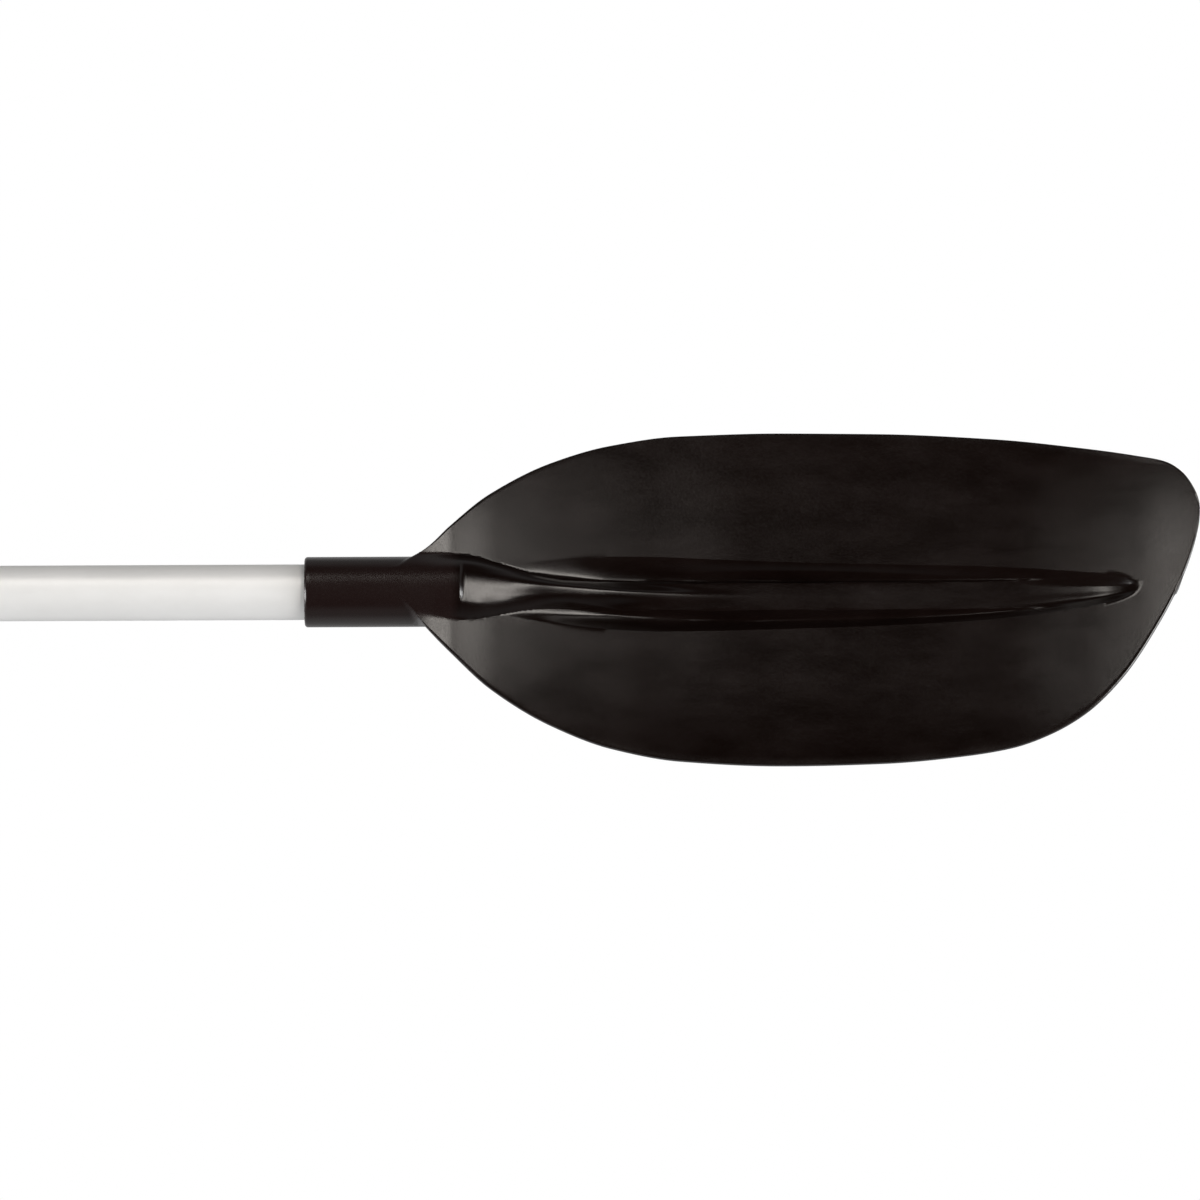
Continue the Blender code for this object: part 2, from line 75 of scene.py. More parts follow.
BLADE_LENGTH = 484.0
SOCKET_R = 19.0
SOCKET_BORE_R = 15.3
SOCKET_DEPTH = 76.0                 # how far the shaft goes in
SOCKET_END = 84.0                   # where the round socket turns into the nose
NOSE_LENGTH = 56.0
NOSE_SINK = 9.0                     # how far the nose's foot sinks along its length
LIP_DROP = 0.9                      # height of the small step at the nose's root
PLATE = 3.4                         # thickness of the blade at its rim
RIM_ROUND = 1.2
FILLET = 5.0
NOSE_FILLET = 7.0
APEX_V = 42.8                       # the tip's furthest point lies off the spine
NECK_START = 50.0                   # the rings are 1 mm apart from here
NECK_END = 125.0                    # about 3 mm apart from here
TIP_START = 440.0                   # and closer and closer from here

UPPER_EDGE = [(50, 8), (57, 14.3), (67, 22.6), (78, 34.9), (100, 55), (132, 73.2), (165, 84),
              (202, 89.8), (256, 91.8), (310, 91.2), (375, 87.4), (418, 81.4), (450, 75.1),
              (466, 70.7), (475, 64.2), (481, 54.9)]
LOWER_EDGE = [(50, 8), (57, 14), (67, 25.6), (78, 36.8), (100, 57.4), (132, 77.8), (165, 91.2),
              (202, 98.4), (256, 101), (310, 99.8), (353, 95.8), (380, 91.2), (400, 84),
              (420, 72.2), (440, 52.4), (460, 22.6), (474, -4.5), (482, -28.2)]
CAMBER = [(0, 12.4), (57, 12.4), (80, 8), (104, 3.6), (137, -0.8), (185, -5), (240, -7.8),
          (280, -8.3), (330, -7.4), (380, -5), (420, -0.9), (450, 3.4), (484, 9.6)]
CROWN = [(60, 0), (140, 7), (280, 8.5), (420, 6.5), (484, 6)]
TROUGH_DEPTH = [(102, 0), (120, 0.9), (137, 2.8), (165, 6.4), (212, 9.8), (266, 10.8), (320, 9.8),
                (375, 7), (412, 4.8), (432, 3.6), (442, 2.2), (450, 0)]
RIDGE_HEIGHT = [(102, 0), (120, 3.5), (137, 7.2), (165, 9.2), (190, 8.8), (212, 7.2), (240, 5),
                (266, 3.4), (300, 1.6), (340, 0.8), (375, 0.5), (450, 0)]
TROUGH_HALF_WIDTH = [(102, 15), (130, 18), (150, 20.5), (189, 21.6), (212, 21), (266, 19.2),
                     (320, 17.6), (375, 15), (418, 10.6), (432, 8.6), (442, 6.2), (450, 2.5)]
VALLEY_V = [(102, 12.5), (137, 11), (165, 9.8), (212, 8), (266, 6.4), (375, 4.4), (418, 3),
            (442, 1.6), (450, 0.8)]
NOSE_TOP = [(84, 19), (104, 13.2), (120, 8.8), (137, 4.2), (150, 0.2), (170, -8)]
NOSE_HALF_WIDTH = [(84, 19), (92, 18.2), (104, 15.2), (120, 11.2), (140, 8)]
BACK_RIB_BOTTOM = [(84, -19), (110, -18.4), (165, -18.6), (212, -21.2), (266, -24), (320, -22.2),
                   (375, -16.8), (418, -10.6), (452, -4.5)]
BACK_RIB_ROOT = [(84, 0), (137, -2), (165, -4), (212, -7), (266, -9), (320, -8.5), (375, -6.5),
                 (418, -4), (452, -1)]
BACK_RIB_HALF_WIDTH = [(84, 19), (137, 21.5), (212, 21.6), (266, 20.4), (320, 18.6), (375, 15.6),
                       (418, 11.4), (452, 3)]


def through(points, x):
    """A smooth curve through a few (x, y) points, flat beyond its ends. x may be an array."""
    xs, ys = np.array(points, dtype=float).T
    x = np.clip(x, xs[0], xs[-1])
    slopes = np.diff(ys) / np.diff(xs)
    before, after = slopes[:-1], slopes[1:]
    rising = before * after > 0
    inner = np.where(rising, 2 * before * after / np.where(rising, before + after, 1.0), 0.0)
    tangents = np.concatenate(([slopes[0]], inner, [slopes[-1]]))
    i = np.clip(np.searchsorted(xs, x, side="right") - 1, 0, len(xs) - 2)
    span = xs[i + 1] - xs[i]
    t = (x - xs[i]) / span
    return (ys[i] * (1 + 2 * t) * (1 - t) ** 2 + tangents[i] * span * t * (1 - t) ** 2
            + ys[i + 1] * t * t * (3 - 2 * t) - tangents[i + 1] * span * t * t * (1 - t))


def ease(x, low, high):
    t = np.clip((x - low) / (high - low), 0.0, 1.0)
    return t * t * (3.0 - 2.0 * t)


def soft_max(a, b, radius):
    """The larger of two heights, with a fillet where they meet."""
    overlap = np.maximum(radius - np.abs(a - b), 0.0) / radius
    return np.maximum(a, b) + overlap * overlap * radius / 4.0


def soft_min(a, b, radius):
    return -soft_max(-a, -b, radius)


def edge_offset(points, sign, u):
    """Distance of one edge of the blade from the spine. The tip's end is round, so the curve
    is drawn against the square root of the distance that is left to the tip."""
    curve = [(-math.sqrt(BLADE_LENGTH - x), y) for x, y in points] + [(0.0, sign * APEX_V)]
    return through(curve, -np.sqrt(np.maximum(BLADE_LENGTH - u, 0.0)))


def wing_edges(u):
    """The v of the wing's lower and upper edges."""
    return -edge_offset(LOWER_EDGE, -1, u), edge_offset(UPPER_EDGE, 1, u)


def dome(v, half_width, height):
    """Half an ellipse, which goes on down steeply outside its own width."""
    inside = np.sqrt(np.clip(1.0 - (v / half_width) ** 2, 0.0, 1.0)) * height
    return np.where(np.abs(v) < half_width, inside, -3.0 * (np.abs(v) - half_width))


def trough(u, v):
    """The channel along the spine, with the raised ridge down its middle."""
    depth = through(TROUGH_DEPTH, u)
    half_width = through(TROUGH_HALF_WIDTH, u)
    valley = through(VALLEY_V, u)
    away = np.abs(v)
    t = np.clip((half_width - away) / (half_width - valley), 0.0, 1.0)
    wall = 0.5 * t * t * (3 - 2 * t) + 0.5 * t * (2 - t)
    ridge = 0.5 + 0.5 * np.cos(np.pi * np.minimum(away / valley, 1.0))
    return through(RIDGE_HEIGHT, u) * ridge - depth * wall


def plate_height(u, v):
    """The power face of the plate alone: its spoon curve and its slightly raised edges."""
    return through(CAMBER, u) + through(CROWN, u) * (np.abs(v) / 95.0) ** 2.7


def socket_end(u, v):
    """Past the socket's end its round top narrows and runs down to the ridge, like half a cone."""
    foot = -NOSE_SINK * ease(u, SOCKET_END, SOCKET_END + NOSE_LENGTH)
    lip = LIP_DROP * ease(u, SOCKET_END, SOCKET_END + 1.4) * (1.0 - ease(np.abs(v), 6.0, 13.0))
    return foot + dome(v, through(NOSE_HALF_WIDTH, u), through(NOSE_TOP, u) - foot) - lip


def outside_wing(u, v):
    lower, upper = wing_edges(u)
    return np.maximum(np.maximum(lower - v, v - upper), 0.0)


def front_height(u, v):
    plate = plate_height(u, v) + trough(u, v) - 4.0 * outside_wing(u, v)
    return soft_max(plate, socket_end(u, v), NOSE_FILLET)


def back_height(u, v):
    plate = plate_height(u, v) - PLATE + 4.0 * outside_wing(u, v)
    root = through(BACK_RIB_ROOT, u)
    rib = root - dome(v, through(BACK_RIB_HALF_WIDTH, u), root - through(BACK_RIB_BOTTOM, u))
    return soft_min(plate, rib, FILLET)


# ---------------------------------------------------------------- mesh helpers

def add_piece(name, verts, faces, material, body, replaced=(), sharp=40.0):
    """A smooth-shaded mesh piece that rides on a body and stands for CAD nodes."""
    mesh = bpy.data.meshes.new(name)
    mesh.from_pydata([tuple(v) for v in verts], [], faces)
    bm = bmesh.new()
    bm.from_mesh(mesh)
    bmesh.ops.remove_doubles(bm, verts=bm.verts, dist=1e-7)
    bmesh.ops.recalc_face_normals(bm, faces=bm.faces)
    bm.to_mesh(mesh)
    bm.free()
    mesh.shade_smooth()
    mesh.set_sharp_from_angle(angle=math.radians(sharp))
    mesh.materials.append(material)
    piece = bpy.data.objects.new(name, mesh)
    bpy.context.collection.objects.link(piece)
    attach(piece, body)
    for node in replaced:
        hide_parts(node)
    return piece


def ring_faces(first, second, count):
    """Quads between two rings of points that start at these indices."""
    return [(first + i, first + (i + 1) % count, second + (i + 1) % count, second + i)
            for i in range(count)]


def rounded(corners, steps=4):
    """A profile of (x, radius) points from corners given as (x, radius, fillet)."""
    points = []
    for i, (x, radius, fillet) in enumerate(corners):
        here = np.array([x, radius])
        if fillet == 0.0:
            points.append(here)
            continue
        back = np.array(corners[i - 1][:2]) - here
        ahead = np.array(corners[(i + 1) % len(corners)][:2]) - here
        back /= np.linalg.norm(back)
        ahead /= np.linalg.norm(ahead)
        half = 0.5 * math.acos(np.clip(back @ ahead, -1.0, 1.0))
        bisector = (back + ahead) / np.linalg.norm(back + ahead)
        centre = here + bisector * fillet / math.sin(half)
        reach = fillet / math.tan(half)
        for share in np.linspace(0.0, 1.0, steps + 1):
            chord = here + reach * ((1 - share) * back + share * ahead) - centre
            points.append(centre + chord * fillet / np.linalg.norm(chord))
    return points


def dense(profile, start, end, count):
    """A profile whose straight run from one point to the next is cut into many rows."""
    first, last = np.array(profile[start]), np.array(profile[end])
    run = [first + (last - first) * share for share in np.linspace(0.0, 1.0, count + 1)]
    return list(profile[:start]) + run + list(profile[end + 1:])


def add_turned(name, profile, material, body, node, along=Matrix.Identity(4), shape=None,
               steps=ROUND, sharp=40.0):
    """A profile of (x, radius) points turned about X, then placed with a matrix.

    shape(x, radius, turn) may change the radius with the angle, for threads, flutes and flats.
    """
    closed = profile[0][1] > 0.0
    turns = np.linspace(0.0, 2.0 * math.pi, steps, endpoint=False)
    rings = []
    for x, radius in profile:
        reach = np.full(steps, float(radius))
        if shape is not None:
            reach = shape(x, radius, turns)
        ring = np.stack((np.full(steps, x), reach * np.cos(turns), reach * np.sin(turns)), axis=1)
        rings.append(ring)
    faces = []
    for k in range(len(rings) - 1 + closed):
        faces += ring_faces(k * steps, (k + 1) % len(rings) * steps, steps)
    verts = [along @ Vector(point) for point in np.concatenate(rings)]
    return add_piece(name, verts, faces, material, body, [node], sharp)


def pointing(direction, place):
    """A matrix that turns +X to a direction and moves the origin to a place."""
    turn = Vector((1.0, 0.0, 0.0)).rotation_difference(Vector(direction)).to_matrix().to_4x4()
    return Matrix.Translation(place) @ turn


def drill(piece, place, direction, radius, length, steps=48):
    """Cut a round hole, centred on a place, through a piece."""
    bm = bmesh.new()
    bmesh.ops.create_cone(bm, cap_ends=True, segments=steps, radius1=radius, radius2=radius,
                          depth=length)
    turn = Vector((0.0, 0.0, 1.0)).rotation_difference(Vector(direction)).to_matrix().to_4x4()
    bmesh.ops.transform(bm, matrix=Matrix.Translation(place) @ turn, verts=bm.verts)
    mesh = bpy.data.meshes.new("cutter")
    bm.to_mesh(mesh)
    bm.free()
    cutter = bpy.data.objects.new("cutter", mesh)
    bpy.context.collection.objects.link(cutter)
    cut = piece.modifiers.new("hole", "BOOLEAN")
    cut.operation = "DIFFERENCE"
    cut.object = cutter
    scene_now = bpy.context.evaluated_depsgraph_get()
    drilled = bpy.data.meshes.new_from_object(piece.evaluated_get(scene_now))
    piece.modifiers.clear()
    piece.data = drilled
    drilled.set_sharp_from_angle(angle=math.radians(30.0))
    bpy.data.objects.remove(cutter, do_unlink=True)


# ---------------------------------------------------------------- blade

def blade_rows():
    """Where the blade is cut into rings: closest at the neck and round the tip."""
    neck = np.arange(NECK_START, NECK_END, 1.0)
    wing = np.linspace(NECK_END, TIP_START, 105, endpoint=False)
    tip = BLADE_LENGTH - (BLADE_LENGTH - TIP_START) * (1 - np.linspace(0, 0.985, 44)) ** 2
    return np.concatenate((neck, wing, tip))


def rim_point(u, side):
    """A point on the blade's outline and the outward direction there, in u and v."""
    edge = wing_edges(u)[side]
    left = math.sqrt(BLADE_LENGTH - u)
    ahead = BLADE_LENGTH - max(left - 0.02, 0.0) ** 2
    behind = BLADE_LENGTH - (left + 0.02) ** 2
    along = np.array([ahead - behind, wing_edges(ahead)[side] - wing_edges(behind)[side]])
    along /= np.linalg.norm(along)
    outward = np.array([-along[1], along[0]]) if side == 1 else np.array([along[1], -along[0]])
    return np.array([u, edge]), outward


def blade_ring(u, across):
    """One closed ring of points: across the power face, round the rim, back across.

    On the socket the columns are spaced as on a circle. On the wing half of them lie in the
    channel, and past the channel's end they spread out and follow the tip's apex to one side.
    """
    spread = float(ease(u, 57.0, 74.0))
    column_spread = float(ease(u, 56.0, 110.0))
    middle = APEX_V * float(ease(u, 445.0, BLADE_LENGTH))
    channel = float(through(TROUGH_HALF_WIDTH, u) + 14.0 * ease(u, 456.0, 474.0))
    shares = np.linspace(0.0, 1.0, across + 1)
    sides = []
    for side, sign in ((0, -1.0), (1, 1.0)):
        edge, outward = rim_point(u, side)
        on_socket = abs(edge[1]) < SOCKET_R and u < SOCKET_END
        if on_socket:
            edge = np.array([u, sign * SOCKET_R])
        turned = spread * outward + (1 - spread) * np.array([0.0, sign])
        turned /= np.linalg.norm(turned)
        inner_edge = edge - turned * RIM_ROUND * (0.05 + 0.95 * spread)
        reach = abs(inner_edge[1] - middle)
        inner = min(channel, 0.5 * reach)
        on_wing = np.where(shares < 0.5, 2.0 * inner * shares,
                           inner + (reach - inner) * (2.0 * shares - 1.0))
        round_reach = abs(inner_edge[1])
        on_round = round_reach * np.sin(0.5 * np.pi * shares)
        v = middle + sign * ((1 - column_spread) * on_round + column_spread * on_wing)
        us = u + (inner_edge[0] - u) * shares ** 3
        sides.append((us, v, edge, inner_edge))
    us = np.concatenate((sides[0][0][:0:-1], sides[1][0]))
    vs = np.concatenate((sides[0][1][:0:-1], sides[1][1]))
    front = np.stack((us, vs, front_height(us, vs)), axis=1)
    back = np.stack((us, vs, back_height(us, vs)), axis=1)

    def rim(start, finish, edge, inner_edge):
        """Points round the rim, from the power face to the back."""
        points = []
        half = 0.5 * (start[2] - finish[2])
        centre = 0.5 * (start[2] + finish[2])
        for turn in np.radians((66, 42, 16, -16, -42, -66)):
            place = inner_edge + (edge - inner_edge) * math.cos(turn) ** 0.6
            height = centre + half * np.sign(turn) * abs(math.sin(turn)) ** 0.6
            points.append((place[0], place[1], height))
        return np.array(points)

    high = rim(front[-1], back[-1], sides[1][2], sides[1][3])
    low = rim(front[0], back[0], sides[0][2], sides[0][3])
    return np.concatenate((front, high, back[::-1], low[::-1]))


def make_blade(material, across=46):
    """The moulded blade: a round socket with a blind bore that runs out into the spoon."""
    rings = [blade_ring(u, across) for u in blade_rows()]
    first = rings[0]
    count = len(first)

    def scaled(u, radius):
        """The first ring's points pulled onto a true circle of a radius."""
        reach = np.hypot(first[:, 1], first[:, 2])[:, None]
        flat = first[:, 1:] / reach * radius
        return np.concatenate((np.full((count, 1), u), flat), axis=1)

    mouth_round = 1.7
    lead = [scaled(SOCKET_DEPTH, SOCKET_BORE_R), scaled(0.6, SOCKET_BORE_R),
            scaled(0.0, SOCKET_BORE_R + 0.5)]
    for turn in np.radians(np.linspace(0, 90, 8))[::-1]:
        lead.append(scaled(mouth_round * (1 - math.sin(turn)),
                           SOCKET_R - mouth_round * (1 - math.cos(turn))))
    lead += [scaled(u, SOCKET_R) for u in (4.0, 12.0, 24.0, 36.0, 46.0)]
    rings = lead + rings
    verts = np.concatenate(rings) * MM + np.array([SOCKET_X, 0.0, 0.0])
    faces = []
    for k in range(len(rings) - 1):
        faces += ring_faces(k * count, (k + 1) * count, count)
    faces.append(tuple(range(count)))
    faces.append(tuple(range((len(rings) - 1) * count, len(rings) * count)))
    return add_piece("blade_shell", verts, faces, material, "blade_half", ["blade"],
                     sharp=50.0)


# ---------------------------------------------------------------- shaft and take-down joint

JOINT_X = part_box("lower_shaft")[0][0] - GAP
SHAFT_START_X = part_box("upper_shaft")[0][0]
SHAFT_END_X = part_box("lower_shaft")[1][0]
FERRULE_R = TUBE_BORE_R - GAP
FERRULE_BORE_R = FERRULE_R - 1.5 * MM
FERRULE_RIVET_X = JOINT_X + 40.0 * MM
FERRULE_RIVET_R = 1.6 * MM
BUTTON_X = JOINT_X - 45.0 * MM
BUTTON_R = 3.5 * MM
BLADE_RIVET_X = SOCKET_X + 30.0 * MM
BLADE_RIVET_R = 2.4 * MM
HOLE_ROWS = (-9, -6, -4.5, -3, -1.5, 0, 1.5, 3, 4.5, 6, 9)


def tube_profile(start, end, inner, outer, fillet, holes=()):
    """The section of a tube, with extra rows beside each hole that will be drilled in it."""
    corners = rounded([(start, inner, fillet), (start, outer, fillet), (end, outer, fillet),
                       (end, inner, fillet)])
    corners_each = len(corners) // 4
    rows = [x + step * MM for x in holes for step in HOLE_ROWS]
    outside = [(x, outer) for x in rows]
    inside = [(x, inner) for x in rows[::-1]]
    return corners[:2 * corners_each] + outside + corners[2 * corners_each:] + inside


def make_shaft(alloy, spigot):
    """The two tubes of the shaft and the ferrule that joins them, with their holes."""
    lower = add_turned("lower_shaft_fine",
                       tube_profile(JOINT_X + GAP, SHAFT_END_X, TUBE_BORE_R, TUBE_R, 0.3 * MM,
                                    (FERRULE_RIVET_X, BLADE_RIVET_X)),
                       alloy, "blade_half", "lower_shaft")
    upper = add_turned("upper_shaft_fine",
                       tube_profile(SHAFT_START_X, JOINT_X, TUBE_BORE_R, TUBE_R, 0.3 * MM,
                                    (BUTTON_X,)),
                       alloy, "handle_half", "upper_shaft")
    ferrule = add_turned("ferrule_fine",
                         tube_profile(JOINT_X - 120 * MM, JOINT_X + 80 * MM, FERRULE_BORE_R,
                                      FERRULE_R, 0.6 * MM, (BUTTON_X, FERRULE_RIVET_X)),
                         spigot, "blade_half", "ferrule")
    for piece in (upper, ferrule):
        drill(piece, (BUTTON_X, 0, 12 * MM), (0, 0, 1), BUTTON_R + GAP, 12 * MM)
    for piece in (lower, ferrule):
        drill(piece, (FERRULE_RIVET_X, 0, 0), (0, 1, 0), FERRULE_RIVET_R + GAP, 40 * MM)
    drill(lower, (BLADE_RIVET_X, 0, -14 * MM), (0, 0, 1), BLADE_RIVET_R + GAP, 8 * MM)


def add_rivet(name, place, outward, radius, head_base, bulb_start, material):
    """A domed blind rivet with the dimple of its broken-off mandrel. The distances are from the
    shaft's axis, along the outward direction."""
    head_r = 1.9 * radius
    bulb_r = 1.25 * radius
    bulb_end = bulb_start - 2.2 * MM
    profile = [(bulb_end, 0.0)]
    profile += rounded([(bulb_end, 0.01 * MM, 0), (bulb_end, bulb_r, 0.8 * MM),
                        (bulb_start - 0.2 * MM, bulb_r, 0.4 * MM), (bulb_start, radius, 0),
                        (head_base, radius, 0), (head_base, head_r, 0.2 * MM)])[1:]
    for turn in np.radians(np.linspace(8, 68, 9)):
        profile.append((head_base + (0.35 + 1.35 * math.sin(turn)) * MM, head_r * math.cos(turn)))
    top = head_base + 1.6 * MM
    profile += rounded([(top - 0.05 * MM, 0.3 * head_r, 0), (top, 0.24 * head_r, 0.1 * MM),
                        (top - 0.7 * MM, 0.22 * head_r, 0.05 * MM),
                        (top - 0.7 * MM, 0.01 * MM, 0)])[1:]
    profile[-1] = (top - 0.7 * MM, 0.0)
    add_turned(name + "_fine", profile, material, "blade_half", name,
               pointing(outward, place), steps=48)


def make_rivets(steel):
    """One rivet under the socket and one on each side of the ferrule."""
    add_rivet("blade_rivet", (BLADE_RIVET_X, 0, 0), (0, 0, -1), BLADE_RIVET_R,
              SOCKET_R * MM + GAP, TUBE_BORE_R - 0.8 * MM, steel)
    for name, side in (("ferrule_rivet_left", 1), ("ferrule_rivet_right", -1)):
        add_rivet(name, (FERRULE_RIVET_X, 0, 0), (0, side, 0), FERRULE_RIVET_R, TUBE_R + GAP,
                  FERRULE_BORE_R - 0.5 * MM, steel)


def make_button(steel):
    """The round snap button, with the flange that keeps it inside the ferrule."""
    top = TUBE_R + 3.0 * MM
    low, high = 9.0 * MM, 10.2 * MM
    profile = [(low, 0.0)]
    profile += rounded([(low, 0.1 * MM, 0), (low, 4.5 * MM, 0.2 * MM), (high, 4.5 * MM, 0.2 * MM),
                        (high, BUTTON_R, 0), (top, BUTTON_R, 1.9 * MM), (top, 0.1 * MM, 0)],
                       8)[1:-1]
    profile.append((top + 0.02 * MM, 0.0))
    add_turned("snap_button_fine", profile, steel, "button", "snap_button",
               pointing((0, 0, 1), (BUTTON_X, 0, 0)), steps=64)


def make_spring(steel):
    """A leaf bent into a V: its lower leg lies in the ferrule, its upper leg lifts the button."""
    leaf, half_width, corner = 0.5 * MM, 3.5 * MM, 0.12 * MM
    bend_x, bend_r = BUTTON_X - 38.0 * MM, 2.0 * MM
    end_x = BUTTON_X + 5.0 * MM
    foot, top = -10.2 * MM, 8.4 * MM
    path = [(end_x, foot), (bend_x + 9.0 * MM, foot)]
    for turn in np.radians(np.linspace(-100, -260, 25)):
        path.append((bend_x + bend_r * math.cos(turn), -7.5 * MM + bend_r * math.sin(turn)))
    path += [(BUTTON_X - 7.0 * MM, top), (end_x, top)]
    section = [(-half_width, corner), (-half_width + corner, 0), (half_width - corner, 0),
               (half_width, corner), (half_width, leaf - corner), (half_width - corner, leaf),
               (-half_width + corner, leaf), (-half_width, leaf - corner)]
    verts, faces = [], []
    for i, (x, z) in enumerate(path):
        ahead = np.array(path[min(i + 1, len(path) - 1)]) - np.array(path[max(i - 1, 0)])
        ahead /= np.linalg.norm(ahead)
        for y, out in section:
            lift = out - 0.5 * leaf
            verts.append((x - ahead[1] * lift, y, z + ahead[0] * lift))
    count = len(section)
    for k in range(len(path) - 1):
        faces += ring_faces(k * count, (k + 1) * count, count)
    faces += [tuple(range(count)), tuple(range((len(path) - 1) * count, len(path) * count))]
    add_piece("snap_spring_fine", verts, faces, steel, "blade_half", ["snap_spring"],
              sharp=30.0)


def make_plugs(foam):
    """Foam plugs that keep water out of the tubes, their ends cut with slightly soft edges."""
    for node, body, radius in (("lower_end_plug", "blade_half", TUBE_BORE_R - GAP),
                               ("ferrule_plug", "blade_half", FERRULE_BORE_R - GAP),
                               ("upper_plug", "handle_half", TUBE_BORE_R - GAP),
                               ("grip_plug", "handle_half", TUBE_BORE_R - GAP)):
        start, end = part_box(node)[0][0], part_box(node)[1][0]
        profile = [(start, 0.0)]
        profile += rounded([(start, 0.1 * MM, 0), (start, radius, 1.2 * MM),
                            (end, radius, 1.2 * MM), (end, 0.1 * MM, 0)], 6)[1:-1]
        profile.append((end, 0.0))
        add_turned(node + "_fine", profile, foam, body, node)


# ---------------------------------------------------------------- handle end

SLEEVE_R = 17.8 * MM
STOP_R = 30.0 * MM
STOP_SPLIT = 1.0 * MM
STOP_SCREW_Y = 24.5 * MM
STOP_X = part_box("stop_collar_top")[0][0]
STOP_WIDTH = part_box("stop_collar_top")[1][0] - STOP_X
SEAT = 9.3 * MM                     # from the collar's split to its screws' heads and to its nuts
FLATS = math.radians(60.0)          # from one side of a hexagon to the next
NUT_R = 3.95 * MM


def grooved(corners, outer, centres, half_width, depth):
    """Corners of a ring whose outside has a row of shallow rounded grooves cut in it."""
    grooves = []
    for x in centres:
        grooves += [(x - half_width, outer, 0.15 * MM),
                    (x - 0.4 * half_width, outer - depth, 0.1 * MM),
                    (x + 0.4 * half_width, outer - depth, 0.1 * MM),
                    (x + half_width, outer, 0.15 * MM)]
    return corners[:2] + grooves + corners[2:]


def make_joint_ring(plastic):
    """The moulded ring that stiffens the mouth of the upper shaft."""
    start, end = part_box("joint_ring")[0][0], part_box("joint_ring")[1][0]
    inner, outer = TUBE_R + GAP, 17.2 * MM
    corners = [(start, inner, 0.2 * MM), (start, outer, 1.1 * MM), (end, outer, 0.7 * MM),
               (end, inner, 0.2 * MM)]
    centres = [start + x * MM for x in (5.0, 8.0, 11.0, 14.0)]
    add_turned("joint_ring_fine", rounded(grooved(corners, outer, centres, 0.8 * MM, 0.45 * MM)),
               plastic, "handle_half", "joint_ring")


def make_sleeve(plastic):
    """The sleeve that turns in the rowlock, with fine grip grooves at its outboard end."""
    start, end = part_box("oar_sleeve")[0][0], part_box("oar_sleeve")[1][0]
    inner = TUBE_R + GAP
    corners = [(start, inner, 0.2 * MM), (start, SLEEVE_R, 1.6 * MM), (end, SLEEVE_R, 1.6 * MM),
               (end, inner, 0.2 * MM)]
    centres = [end - x * MM for x in (24.0, 20.0, 16.0, 12.0, 8.0)]
    add_turned("oar_sleeve_fine", rounded(grooved(corners, SLEEVE_R, centres, 0.7 * MM, 0.5 * MM)),
               plastic, "handle_half", "oar_sleeve")


def make_grip(rubber):
    """The closed hand grip: a palm swell between two lips, with fine grooves round it."""
    swell = [(9.0, 18.4), (13.0, 17.4), (20.0, 17.3), (40.0, 18.2), (62.0, 18.6), (84.0, 18.1),
             (104.0, 17.2), (114.0, 17.0), (118.0, 18.1), (124.0, 18.4)]
    profile = [(0.0, 0.0)]
    profile += rounded([(0.0, 0.1, 0), (0.0, 17.9, 3.2), (9.0, 18.4, 0)], 10)[1:]
    for x in np.arange(9.5, 124.0, 0.5):
        groove = 0.0
        if 22.0 < x < 106.0:
            groove = 0.45 * max(0.0, math.cos(2 * math.pi * (x - 24.0) / 4.0)) ** 3
        profile.append((x, float(through(swell, x)) - groove))
    profile += rounded([(124.0, 18.4, 0), (130.0, 17.6, 1.6), (130.0, 15.3, 0.2), (4.0, 15.3, 0.3),
                        (4.0, 0.1, 0)], 6)[:-1]
    profile = [(x * MM, radius * MM) for x, radius in profile] + [(4.0 * MM, 0.0)]
    add_turned("grip_fine", profile, rubber, "handle_half", "grip")


def make_stop_half(name, side, plastic):
    """One half of the clamped stop collar, split level with the shaft. side is +1 for the top."""
    bore = SLEEVE_R + GAP
    section = rounded([(0.0, bore, 0.4 * MM), (0.0, STOP_R, 2.0 * MM),
                       (STOP_WIDTH, STOP_R, 2.0 * MM), (STOP_WIDTH, bore, 0.4 * MM)], 6)
    steps, half_gap = 180, 0.5 * STOP_SPLIT
    lean = math.asin(half_gap / STOP_R)
    verts, faces = [], []
    for k, turn in enumerate(np.linspace(lean, math.pi - lean, steps + 1)):
        flute = 0.35 * MM * max(0.0, math.cos(36.0 * turn)) ** 4
        for x, radius in section:
            on_rim = ease(radius, STOP_R - 1.5 * MM, STOP_R - 0.2 * MM)
            reach = radius - flute * on_rim
            z = max(reach * math.sin(turn), half_gap)
            if k in (0, steps):
                z = half_gap
            verts.append((STOP_X + x, side * reach * math.cos(turn), side * z))
    count = len(section)
    for k in range(steps):
        faces += ring_faces(k * count, (k + 1) * count, count)
    faces += [tuple(range(count)), tuple(range(steps * count, (steps + 1) * count))]
    half = add_piece(name + "_fine", verts, faces, plastic, "stop_collar", [name],
                     sharp=35.0)
    middle_x = STOP_X + 0.5 * STOP_WIDTH
    pocket_r = 4.3 * MM if side > 0 else 4.4 * MM
    for y in (STOP_SCREW_Y, -STOP_SCREW_Y):
        drill(half, (middle_x, y, 0), (0, 0, 1), 2.3 * MM, 40 * MM)
        drill(half, (middle_x, y, side * 19 * MM), (0, 0, 1), pocket_r, 20 * MM)


def hexagon(corner_r, turn):
    """Distance from the centre of a hexagon to its side at a turn."""
    away = np.mod(turn + 0.5 * FLATS, FLATS) - 0.5 * FLATS
    return corner_r * math.cos(0.5 * FLATS) / np.cos(away)


